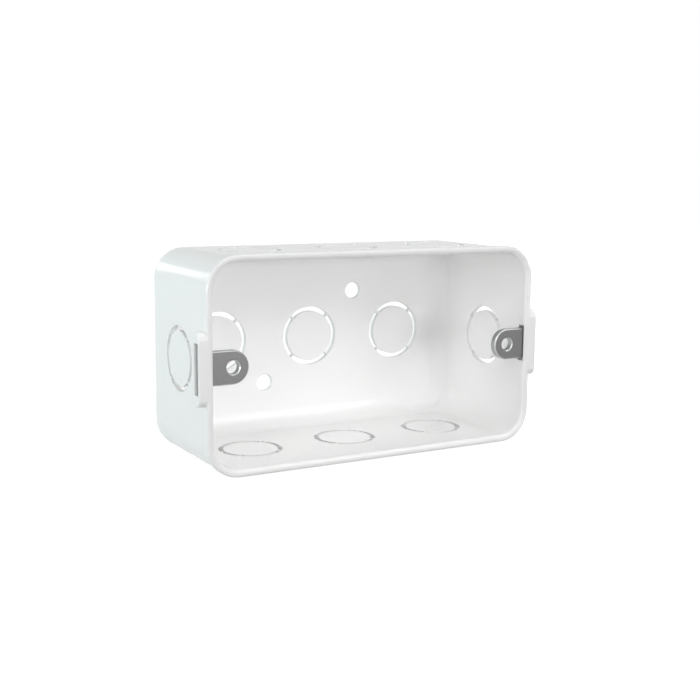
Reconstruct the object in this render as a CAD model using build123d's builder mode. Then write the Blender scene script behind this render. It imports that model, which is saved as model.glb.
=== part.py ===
from build123d import *

import os

# Moulded shell, in millimetres
screw_spacing = 83.5         # between the two device screws
screw_to_wall = 5.45         # from a device screw to the inside of the end wall
inner_height = 51.4
inner_depth = 40.3
wall = 1.4
inner_corner_radius = 6.8    # where two side walls meet
inner_back_radius = 5.0      # where the side walls meet the back
lip_proud = 0.4
lip_depth = 2.8
lip_bevel = 0.3
mouth_round = 1.1            # of the rim's inner edge

# Knockouts: a disc in a ring slot, held by thin webs
knockouts_in_row = 3
knockout_pitch = 28.8
knockout_from_mouth = 19.2
disc_diameter = 14.5
slot_width = 1.25
web_count = 4
web_width = 0.45

# Fixing holes in the back, one above and one below the middle
fixing_hole_diameter = 4.6
fixing_hole_x = 14.5
fixing_hole_z = 12.65
fixing_hole_bevel = 0.3

# Lug blocks outside the end walls
seat_wall = 1.7              # between the cavity and the seat of the lug's head
block_end_wall = 2.95        # above and below the lug's pocket
block_back_wall = 1.45       # behind the lug's pocket
block_bevel = 0.2

# Steel lugs, T-shaped
lug_setback = 1.0            # from the mouth to the lug's front
lug_thickness = 1.8
tongue_height = 8.5
head_height = 12.2
head_thickness = 1.6
head_recess = 0.6            # below the outer face of the block
screw_hole_diameter = 3.4
lug_edge_bevel = 0.28        # on the front
lug_clearance = 0.25         # in front of the lug, behind it and at the ends of its head
tongue_clearance = 0.8       # above and below the tongue

# Sizes that follow
screw_x = screw_spacing / 2
inner_width = screw_spacing + 2 * screw_to_wall
outer_width = inner_width + 2 * wall
outer_height = inner_height + 2 * wall
depth = inner_depth + wall
disc_radius = disc_diameter / 2
ring_radius = disc_radius + slot_width
ring_middle_radius = disc_radius + slot_width / 2
seat_x = inner_width / 2 + seat_wall
block_face_x = seat_x + head_thickness + head_recess
pocket_thickness = lug_thickness + 2 * lug_clearance
pocket_height = head_height + 2 * lug_clearance
wall_slot_height = tongue_height + 2 * tongue_clearance
block_height = pocket_height + 2 * block_end_wall
block_depth = lug_setback + lug_thickness + lug_clearance + block_back_wall

# The back lies on the XZ plane, and the mouth faces -Y
mouth_y = -depth
knockout_y = mouth_y + knockout_from_mouth
lug_y = mouth_y + lug_setback + lug_thickness / 2
block_y = mouth_y + block_depth / 2
mouth_plane = Plane.XZ.offset(depth)
sides = (-1, 1)

# Planes of the knockouts, each on the outside of its wall and facing in
back_wall = Plane.XZ
bottom_wall = Plane((0, knockout_y, -outer_height / 2), x_dir=(1, 0, 0), z_dir=(0, 0, 1))
top_wall = Plane((0, knockout_y, outer_height / 2), x_dir=(1, 0, 0), z_dir=(0, 0, -1))
left_wall = Plane((-outer_width / 2, knockout_y, 0), x_dir=(0, 1, 0), z_dir=(1, 0, 0))
right_wall = Plane((outer_width / 2, knockout_y, 0), x_dir=(0, 1, 0), z_dir=(-1, 0, 0))

os.makedirs("parts", exist_ok=True)

# Ring slot of one knockout, from the outside of its wall in
with BuildPart() as ring_slot:
    with BuildSketch():
        Circle(ring_radius)
        Circle(disc_radius, mode=Mode.SUBTRACT)
        with PolarLocations(ring_middle_radius, web_count, start_angle=180 / web_count):
            Rectangle(2 * slot_width, web_width, mode=Mode.SUBTRACT)
    extrude(amount=wall)

# Space inside the box, rounded towards the back
with BuildPart() as cavity:
    with BuildSketch(mouth_plane):
        RectangleRounded(inner_width, inner_height, inner_corner_radius)
    extrude(amount=-inner_depth)
    fillet(cavity.faces().sort_by(Axis.Y)[-1].edges(), inner_back_radius)

# Box: shell with a lip, lug blocks, knockouts and fixing holes, in one moulding
with BuildPart() as box_body:
    with BuildSketch(Plane.XZ):
        RectangleRounded(outer_width, outer_height, inner_corner_radius + wall)
    extrude(amount=depth)
    fillet(box_body.faces().sort_by(Axis.Y)[-1].edges(), inner_back_radius + wall)

    with BuildSketch(mouth_plane):
        RectangleRounded(
            outer_width + 2 * lip_proud,
            outer_height + 2 * lip_proud,
            inner_corner_radius + wall + lip_proud,
        )
    extrude(amount=-lip_depth)
    chamfer(box_body.faces().sort_by(Axis.Y)[0].edges(), lip_bevel)

    # Blocks with full-round ends, flush with the rim
    for side in sides:
        with BuildSketch(Plane.YZ.offset(side * inner_width / 2)):
            with Locations((block_y, 0)):
                SlotOverall(block_height, block_depth, rotation=90)
        extrude(amount=side * (block_face_x - inner_width / 2))
        chamfer(box_body.faces().sort_by(Axis.X, reverse=side > 0)[0].edges(), block_bevel)

    # Cavity, with a rounded mouth
    add(cavity.part, mode=Mode.SUBTRACT)
    fillet(box_body.faces().sort_by(Axis.Y)[0].inner_wires()[0].edges(), mouth_round)

    # Pocket for the head of each lug, and a slot through the wall for its tongue
    for side in sides:
        with BuildSketch(Plane.YZ.offset(side * block_face_x)):
            with Locations((lug_y, 0)):
                Rectangle(pocket_thickness, pocket_height)
        extrude(amount=side * (seat_x - block_face_x), mode=Mode.SUBTRACT)
        with BuildSketch(Plane.YZ.offset(side * seat_x)):
            with Locations((lug_y, 0)):
                Rectangle(pocket_thickness, wall_slot_height)
        extrude(amount=-side * (seat_wall + wall), mode=Mode.SUBTRACT)

    # Fixing holes
    with BuildSketch(Plane.XZ):
        with Locations((fixing_hole_x, fixing_hole_z), (-fixing_hole_x, -fixing_hole_z)):
            Circle(fixing_hole_diameter / 2)
    extrude(amount=wall, mode=Mode.SUBTRACT)
    chamfer(box_body.edges(Select.LAST).filter_by(GeomType.CIRCLE), fixing_hole_bevel)

    # Knockouts: a row in the back, the top and the bottom, and one in each end
    for row_wall in (back_wall, bottom_wall, top_wall):
        with Locations(row_wall):
            with GridLocations(knockout_pitch, 0, knockouts_in_row, 1):
                add(ring_slot.part, mode=Mode.SUBTRACT)
    with Locations(left_wall, right_wall):
        add(ring_slot.part, mode=Mode.SUBTRACT)

box_body.part.label = "box_body"
export_step(box_body.part, "parts/box_body.step")

# Right lug: its head seats on the pocket's floor, its tongue carries the screw hole
with BuildPart() as right_lug:
    with BuildSketch(mouth_plane.offset(-lug_setback)):
        with Locations((screw_x, 0)):
            Circle(tongue_height / 2)
            Rectangle(seat_x - screw_x, tongue_height, align=(Align.MIN, Align.CENTER))
        with Locations((seat_x, 0)):
            Rectangle(head_thickness, head_height, align=(Align.MIN, Align.CENTER))
        with Locations((screw_x, 0)):
            Circle(screw_hole_diameter / 2, mode=Mode.SUBTRACT)
    extrude(amount=-lug_thickness)
    chamfer(right_lug.faces().sort_by(Axis.Y)[0].edges(), lug_edge_bevel)
right_lug.part.label = "right_lug"
export_step(right_lug.part, "parts/right_lug.step")

# Left lug: the same, turned to the other end
with BuildPart() as left_lug:
    mirror(right_lug.part, about=Plane.YZ)
left_lug.part.label = "left_lug"
export_step(left_lug.part, "parts/left_lug.step")
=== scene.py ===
from math import radians

import bmesh
import bpy
from mathutils import Euler, Matrix, Vector


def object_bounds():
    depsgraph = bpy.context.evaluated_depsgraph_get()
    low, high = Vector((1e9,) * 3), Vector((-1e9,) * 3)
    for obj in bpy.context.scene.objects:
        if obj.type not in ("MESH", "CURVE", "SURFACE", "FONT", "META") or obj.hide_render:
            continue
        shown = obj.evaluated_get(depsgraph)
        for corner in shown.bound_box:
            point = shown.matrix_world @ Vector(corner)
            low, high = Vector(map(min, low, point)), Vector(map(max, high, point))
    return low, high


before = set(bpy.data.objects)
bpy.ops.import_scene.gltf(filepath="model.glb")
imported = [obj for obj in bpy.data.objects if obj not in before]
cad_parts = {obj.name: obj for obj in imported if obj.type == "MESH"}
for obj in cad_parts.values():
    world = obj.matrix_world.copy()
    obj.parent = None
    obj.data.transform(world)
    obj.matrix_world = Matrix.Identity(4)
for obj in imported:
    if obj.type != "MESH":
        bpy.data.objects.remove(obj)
cad_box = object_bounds()
box_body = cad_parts["box_body"]
lugs = [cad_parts[name] for name in ("left_lug", "right_lug")]
scene = bpy.context.scene

# Camera, where the photograph was taken from
CAMERA_PLACE = Vector((-0.1524, -0.2884, 0.0476))
CAMERA_YAW = radians(30.067)
CAMERA_PITCH = radians(9.053)
CAMERA_ROLL = radians(0.56)
CAMERA_LENS_MM = 57.92

# Light and surroundings, with lengths in metres
WHITE = (1.0, 1.0, 1.0, 1.0)
LAMP_DISTANCE = 0.9
COOL_WHITE = (0.83, 1.0, 0.99)
FLOOR_DROP = 0.0003
FLOOR_RADIUS = 6.0
FLOOR_SEGMENTS = 64
FLOOR_GREY = (0.35, 0.35, 0.35, 1.0)
FLOOR_GLOW_NEAR = 0.86
FLOOR_GLOW_FAR = 1.0
FLOOR_GLOW_REACH = 0.6

# Finishes, with lengths in metres and patterns in repeats per metre
EDGE_SAMPLES = 6
BUMP_HEIGHT = 0.00001

PLASTIC_WHITE = (0.955, 0.955, 0.952, 1.0)
PLASTIC_SHADE = (0.945, 0.945, 0.942, 1.0)
# Painted shade: a darker grey for the forward-facing front of the rim
PLASTIC_RIM_PAINTED_SHADE = (0.77, 0.77, 0.768, 1.0)
PLASTIC_CLOUDS = 45.0
PLASTIC_WAVES = 90.0
PLASTIC_GRAIN = 2600.0
PLASTIC_EDGE = 0.00025
PLASTIC_BUMP_STRENGTH = 0.25
PLASTIC_WAVE_SHARE = 0.9
PLASTIC_ROUGHNESS = 0.19
PLASTIC_UNEVENNESS = 0.06
PLASTIC_IOR = 1.5
PLASTIC_SCATTER = 0.3
PLASTIC_SCATTER_DEPTH = 0.001
# Where the rim's painted shade lies: depth behind the mouth, and how far forward the surface faces
PAINTED_SHADE_RIM_DEPTH = 0.002
PAINTED_SHADE_RIM_FACING = (0.5, 0.95)

STEEL_GREY = (0.15, 0.148, 0.149, 1.0)
STEEL_DARK = (0.12, 0.118, 0.119, 1.0)
STEEL_CUT = (0.42, 0.43, 0.43, 1.0)
STEEL_STREAKS = 9000.0
STEEL_STREAK_STRETCH = (0.06, 1.0, 1.0)
STEEL_PATCHES = 3500.0
STEEL_EDGE = 0.00015
STEEL_BUMP_STRENGTH = 0.3
STEEL_STREAK_SHARE = 0.7
STEEL_ROUGHNESS = 0.28
STEEL_FACE_DULLNESS = 0.1
STEEL_UNEVENNESS = 0.1
STEEL_FACE_FACING = (0.8, 0.97)


class Value:
    """A number on a node's output, for plain arithmetic."""

    def __init__(self, finish, socket):
        self.finish = finish
        self.socket = socket

    def combine(self, operation, first, second):
        node = self.finish.node("ShaderNodeMath", {"operation": operation}, {0: first, 1: second})
        return Value(self.finish, node.outputs[0])

    def __add__(self, other):
        return self.combine("ADD", self, other)

    def __radd__(self, other):
        return self.combine("ADD", other, self)

    def __sub__(self, other):
        return self.combine("SUBTRACT", self, other)

    def __rsub__(self, other):
        return self.combine("SUBTRACT", other, self)

    def __mul__(self, other):
        return self.combine("MULTIPLY", self, other)

    def __rmul__(self, other):
        return self.combine("MULTIPLY", other, self)


class Finish:
    """The node tree of one material or of the world."""

    def __init__(self, holder):
        holder.use_nodes = True
        self.tree = holder.node_tree
        self.tree.nodes.clear()

    def node(self, kind, settings=None, inputs=None):
        made = self.tree.nodes.new(kind)
        for name, setting in (settings or {}).items():
            setattr(made, name, setting)
        for name, value in (inputs or {}).items():
            if isinstance(value, Value):
                value = value.socket
            if isinstance(value, bpy.types.NodeSocket):
                self.tree.links.new(value, made.inputs[name])
            else:
                made.inputs[name].default_value = value
        return made

    def value(self, kind, settings=None, inputs=None, output=0):
        return Value(self, self.node(kind, settings, inputs).outputs[output])

    def place(self, stretch=(1.0, 1.0, 1.0)):
        """Object coordinates in metres, stretched along the axes."""
        coordinates = self.node("ShaderNodeTexCoord").outputs["Object"]
        return self.node("ShaderNodeMapping", {}, {"Vector": coordinates, "Scale": stretch}).outputs[0]

    def noise(self, place, per_metre, detail):
        inputs = {"Vector": place, "Scale": per_metre, "Detail": detail}
        return self.value("ShaderNodeTexNoise", {"noise_dimensions": "3D"}, inputs)

    def ramp(self, value, low, high):
        """0 up to low, 1 from high on, and smooth between them."""
        inputs = {"Value": value, "From Min": low, "From Max": high}
        return self.value("ShaderNodeMapRange", {"interpolation_type": "SMOOTHSTEP"}, inputs)

    def smaller(self, first, second):
        return self.value("ShaderNodeMath", {"operation": "MINIMUM"}, {0: first, 1: second})

    def along(self, vector, axis):
        """One coordinate of a vector."""
        return self.value("ShaderNodeSeparateXYZ", {}, {0: vector}, axis)

    def normal_along(self, axis):
        """One coordinate of the surface's normal."""
        return self.along(self.node("ShaderNodeNewGeometry").outputs["Normal"], axis)

    def blend(self, factor, first, second):
        inputs = {"Factor": factor, 6: first, 7: second}
        return self.node("ShaderNodeMix", {"data_type": "RGBA"}, inputs).outputs[2]

    def bump(self, strength, height, edge):
        """Normals of a slightly uneven surface with softened edges."""
        edges = self.node("ShaderNodeBevel", {"samples": EDGE_SAMPLES}, {"Radius": edge})
        inputs = {
            "Strength": strength,
            "Distance": BUMP_HEIGHT,
            "Height": height,
            "Normal": edges.outputs[0],
        }
        return self.node("ShaderNodeBump", {}, inputs).outputs[0]

    def principled(self, inputs):
        """Closes the tree of a material."""
        shader = self.node("ShaderNodeBsdfPrincipled", {}, inputs)
        self.node("ShaderNodeOutputMaterial", {}, {"Surface": shader.outputs[0]})


def seen_rays(finish):
    """1 on rays that show the surroundings: camera, mirror and see-through rays."""
    path = finish.node("ShaderNodeLightPath")
    names = ("Is Camera Ray", "Is Glossy Ray", "Is Transmission Ray")
    camera, glossy, through = (Value(finish, path.outputs[name]) for name in names)
    return finish.smaller(camera + glossy + through, 1.0)


def white_plastic():
    """Moulded white plastic: soft gloss, light in its thickness, faint clouds and waves, painted shade on
    the rim's front.
    """
    material = bpy.data.materials.new("white_plastic_finish")
    finish = Finish(material)
    place = finish.place()
    clouds = finish.noise(place, PLASTIC_CLOUDS, detail=3.0)
    grain = finish.noise(place, PLASTIC_GRAIN, detail=2.0)
    waves = finish.noise(place, PLASTIC_WAVES, detail=1.0)
    height = waves * PLASTIC_WAVE_SHARE + grain * (1.0 - PLASTIC_WAVE_SHARE)
    # Painted shade: the forward-facing front of the rim at the mouth gets a darker grey than the rest of
    # the plastic
    mouth = cad_box[0][1]
    at_mouth = 1 - finish.ramp(finish.along(place, "Y"), mouth + PAINTED_SHADE_RIM_DEPTH / 2, mouth + PAINTED_SHADE_RIM_DEPTH)
    forward = -1 * finish.normal_along("Y")
    painted_rim_shade = at_mouth * finish.ramp(forward, *PAINTED_SHADE_RIM_FACING)
    white = finish.blend(clouds, PLASTIC_SHADE, PLASTIC_WHITE)
    finish.principled({
        "Base Color": finish.blend(painted_rim_shade, white, PLASTIC_RIM_PAINTED_SHADE),
        "Roughness": PLASTIC_ROUGHNESS + grain * PLASTIC_UNEVENNESS,
        "IOR": PLASTIC_IOR,
        "Subsurface Weight": PLASTIC_SCATTER,
        "Subsurface Radius": (1.0, 1.0, 1.0),
        "Subsurface Scale": PLASTIC_SCATTER_DEPTH,
        "Normal": finish.bump(PLASTIC_BUMP_STRENGTH, height, PLASTIC_EDGE),
    })
    return material


def lug_steel():
    """Stamped, plated steel: dull grey faces with a fine grain, bright where the punch cut it."""
    material = bpy.data.materials.new("lug_steel_finish")
    finish = Finish(material)
    streaks = finish.noise(finish.place(STEEL_STREAK_STRETCH), STEEL_STREAKS, detail=3.0)
    patches = finish.noise(finish.place(), STEEL_PATCHES, detail=3.0)
    height = streaks * STEEL_STREAK_SHARE + patches * (1.0 - STEEL_STREAK_SHARE)
    facing = finish.value("ShaderNodeMath", {"operation": "ABSOLUTE"}, {0: finish.normal_along("Y")})
    face = finish.ramp(facing, *STEEL_FACE_FACING)
    grey = finish.blend(patches, STEEL_DARK, STEEL_GREY)
    finish.principled({
        "Base Color": finish.blend(face, STEEL_CUT, grey),
        "Metallic": 1.0,
        "Roughness": STEEL_ROUGHNESS + face * STEEL_FACE_DULLNESS + streaks * STEEL_UNEVENNESS,
        "Normal": finish.bump(STEEL_BUMP_STRENGTH, height, STEEL_EDGE),
    })
    return material


def floor_finish():
    """Matt grey floor that keeps the shadow, with a white glow that is only seen and mirrored."""
    material = bpy.data.materials.new("floor_finish")
    finish = Finish(material)
    distance = finish.value("ShaderNodeVectorMath", {"operation": "LENGTH"}, {0: finish.place()}, "Value")
    far = finish.smaller(distance * (1.0 / FLOOR_GLOW_REACH), 1.0)
    strength = seen_rays(finish) * (FLOOR_GLOW_NEAR + far * (FLOOR_GLOW_FAR - FLOOR_GLOW_NEAR))
    glow = finish.node("ShaderNodeEmission", {}, {"Color": WHITE, "Strength": strength})
    matt = finish.node("ShaderNodeBsdfDiffuse", {}, {"Color": FLOOR_GREY})
    both = finish.node("ShaderNodeAddShader", {}, {0: matt.outputs[0], 1: glow.outputs[0]})
    finish.node("ShaderNodeOutputMaterial", {}, {"Surface": both.outputs[0]})
    return material


def make_room():
    """A white room, which is seen and mirrored. The lamps give the light."""
    world = bpy.data.worlds.new("white_room")
    scene.world = world
    finish = Finish(world)
    light = finish.node("ShaderNodeBackground", {}, {"Color": WHITE, "Strength": seen_rays(finish)})
    finish.node("ShaderNodeOutputWorld", {}, {"Surface": light.outputs[0]})


def make_floor():
    shape = bmesh.new()
    bmesh.ops.create_circle(shape, cap_ends=True, segments=FLOOR_SEGMENTS, radius=FLOOR_RADIUS)
    bmesh.ops.translate(shape, vec=(0, 0, cad_box[0][2] - FLOOR_DROP), verts=shape.verts)
    mesh = bpy.data.meshes.new("floor")
    shape.to_mesh(mesh)
    shape.free()
    floor = bpy.data.objects.new("floor", mesh)
    scene.collection.objects.link(floor)
    mesh.materials.append(floor_finish())


def make_lamp(name, towards, size, watts, colour=(1.0, 1.0, 1.0)):
    """A square soft lamp that stands in a direction from the box and faces it."""
    lamp = bpy.data.lights.new(name, "AREA")
    lamp.shape = "SQUARE"
    lamp.size = size
    lamp.energy = watts
    lamp.color = colour
    holder = bpy.data.objects.new(name, lamp)
    middle = (Vector(cad_box[0]) + Vector(cad_box[1])) / 2
    direction = Vector(towards).normalized()
    turn = direction.to_track_quat("Z", "Y").to_matrix().to_4x4()
    holder.matrix_world = Matrix.Translation(middle + direction * LAMP_DISTANCE) @ turn
    scene.collection.objects.link(holder)


def make_camera():
    camera = bpy.data.cameras.new("camera")
    camera.lens = CAMERA_LENS_MM
    holder = bpy.data.objects.new("camera", camera)
    heading = Euler((radians(90) - CAMERA_PITCH, 0, -CAMERA_YAW)).to_matrix()
    turn = heading @ Matrix.Rotation(CAMERA_ROLL, 3, "Z")
    holder.matrix_world = Matrix.Translation(CAMERA_PLACE) @ turn.to_4x4()
    scene.collection.objects.link(holder)
    scene.camera = holder


def finish_nodes():
    plastic = white_plastic()
    steel = lug_steel()
    for node, material in [(box_body, plastic)] + [(lug, steel) for lug in lugs]:
        for slot in node.material_slots:
            slot.material = material


scene.view_settings.view_transform = "Standard"
make_camera()
make_room()
make_floor()

# Lamps in front of the mouth
make_lamp("front_lamp", (0.1, -1.0, 0.0), size=0.3, watts=3.4)
make_lamp("front_high_lamp", (0.0, -0.75, 0.65), size=0.6, watts=1.9)
make_lamp("right_lamp", (0.5, -0.8, 0.28), size=0.4, watts=1.75)
make_lamp("left_lamp", (-0.93, -0.35, -0.02), size=0.12, watts=1.6)
make_lamp("left_front_lamp", (-0.9, -0.42, 0.12), size=0.12, watts=1.05)
make_lamp("left_high_lamp", (-0.6, -0.6, 0.55), size=0.4, watts=1.3)

# Lamps behind and above, for the outside and the rim
make_lamp("left_back_lamp", (-0.8, 0.55, 0.08), size=0.5, watts=5.2, colour=COOL_WHITE)
make_lamp("right_back_lamp", (0.88, 0.46, 0.15), size=0.25, watts=3.6)
make_lamp("rim_lamp", (0.46, -0.4, 0.75), size=0.24, watts=1.4)
make_lamp("back_lamp", (-0.3, 0.93, 0.22), size=0.12, watts=0.2)
finish_nodes()
